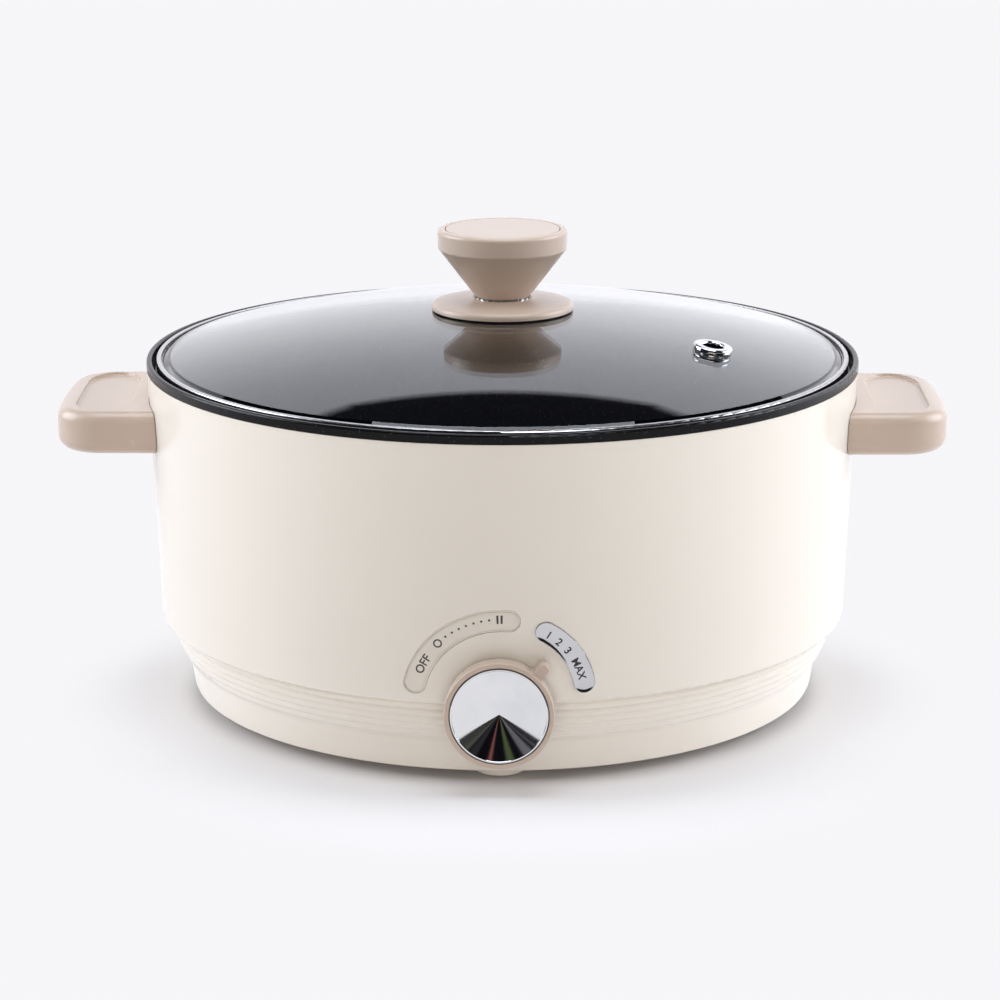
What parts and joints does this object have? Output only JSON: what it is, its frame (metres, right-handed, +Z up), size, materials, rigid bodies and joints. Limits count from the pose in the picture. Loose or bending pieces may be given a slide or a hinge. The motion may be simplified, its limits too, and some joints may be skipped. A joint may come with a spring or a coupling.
{
  "type": "electric hot pot",
  "caption": "Round electric hot pot with a domed glass lid that lifts off, side handles and a rotary heat knob at the front.",
  "frame": {"origin": "on the table under the pot's axis, in the middle of the footprint", "axes": "+Z up, -Y towards the control knob, +X towards the right handle seen from the knob's side"},
  "size_m": [0.3748, 0.3096, 0.1981],
  "materials": {
    "cream": "satin moulded plastic",
    "scale_cream": "satin printed plastic",
    "beige": "satin moulded plastic",
    "chrome_trim": "polished",
    "pot_coat": "black non-stick coat with a fine sparkle",
    "clear_glass": "clear tempered",
    "stainless": "turned",
    "silicone": "matte",
    "foot_rubber": "matte",
    "zinc_steel": "zinc plated",
    "shield_steel": "galvanised sheet",
    "cast_aluminium": "machined",
    "element_sheath": "annealed",
    "white_ceramic": "unglazed",
    "black_plastic": "moulded",
    "white_plastic": "moulded",
    "brass_part": "turned",
    "lead_brown": "silicone sleeve",
    "lead_blue": "silicone sleeve",
    "lead_green": "silicone sleeve with a yellow stripe"
  },
  "bodies": {
    "base": {"casing": "cream", "scale_plate": "scale_cream", "scale_badge": "chrome_trim", "inner_pot": "pot_coat", "pot_seal": "silicone", "base_cover": "cream", "foot_pads": "foot_rubber", "base_screws": "zinc_steel", "handle_right": "beige", "handle_left": "beige", "handle_screws": "zinc_steel", "heater_plate": "cast_aluminium", "heating_element": "element_sheath", "element_bushes": "white_ceramic", "element_pins": "zinc_steel", "heat_shield": "shield_steel", "shield_studs": "zinc_steel", "shield_nuts": "zinc_steel", "overheat_cutout": "black_plastic", "cutout_blades": "brass_part", "thermal_fuse": "cast_aluminium", "fuse_clip": "shield_steel", "regulator_body": "black_plastic", "regulator_cover": "black_plastic", "regulator_bracket": "shield_steel", "bracket_screws": "zinc_steel", "regulator_bush": "brass_part", "bush_nut": "brass_part", "regulator_contacts": "brass_part", "power_inlet": "black_plastic", "inlet_pins": "brass_part", "inlet_screws": "zinc_steel", "terminal_block": "white_plastic", "terminal_screws": "brass_part", "live_leads": "lead_brown", "neutral_leads": "lead_blue", "earth_leads": "lead_green"},
    "knob": {"control_knob": "beige", "knob_dish": "chrome_trim", "knob_clip": "zinc_steel", "regulator_shaft": "zinc_steel", "regulator_cam": "white_plastic"},
    "lid": {"lid_glass": "clear_glass", "lid_band": "stainless", "lid_seal": "silicone", "steam_vent": "chrome_trim", "vent_seal": "silicone", "knob_gasket": "silicone", "knob_base": "beige", "toothed_washer": "zinc_steel", "lid_knob": "beige", "knob_cap": "beige", "knob_insert": "brass_part", "screw_washer": "silicone", "lid_screw": "zinc_steel"}
  },
  "joints": [
    {"name": "knob_turn", "type": "hinge", "parent": "base", "child": "knob", "pos_m": [0, -0.148, 0.0339], "axis": [0, -1, 0], "range_deg": [-27, 85]},
    {"name": "lid_lift", "type": "slide", "parent": "base", "child": "lid", "axis": [0, 0, 1], "range_m": [0, 0.15]}
  ]
}
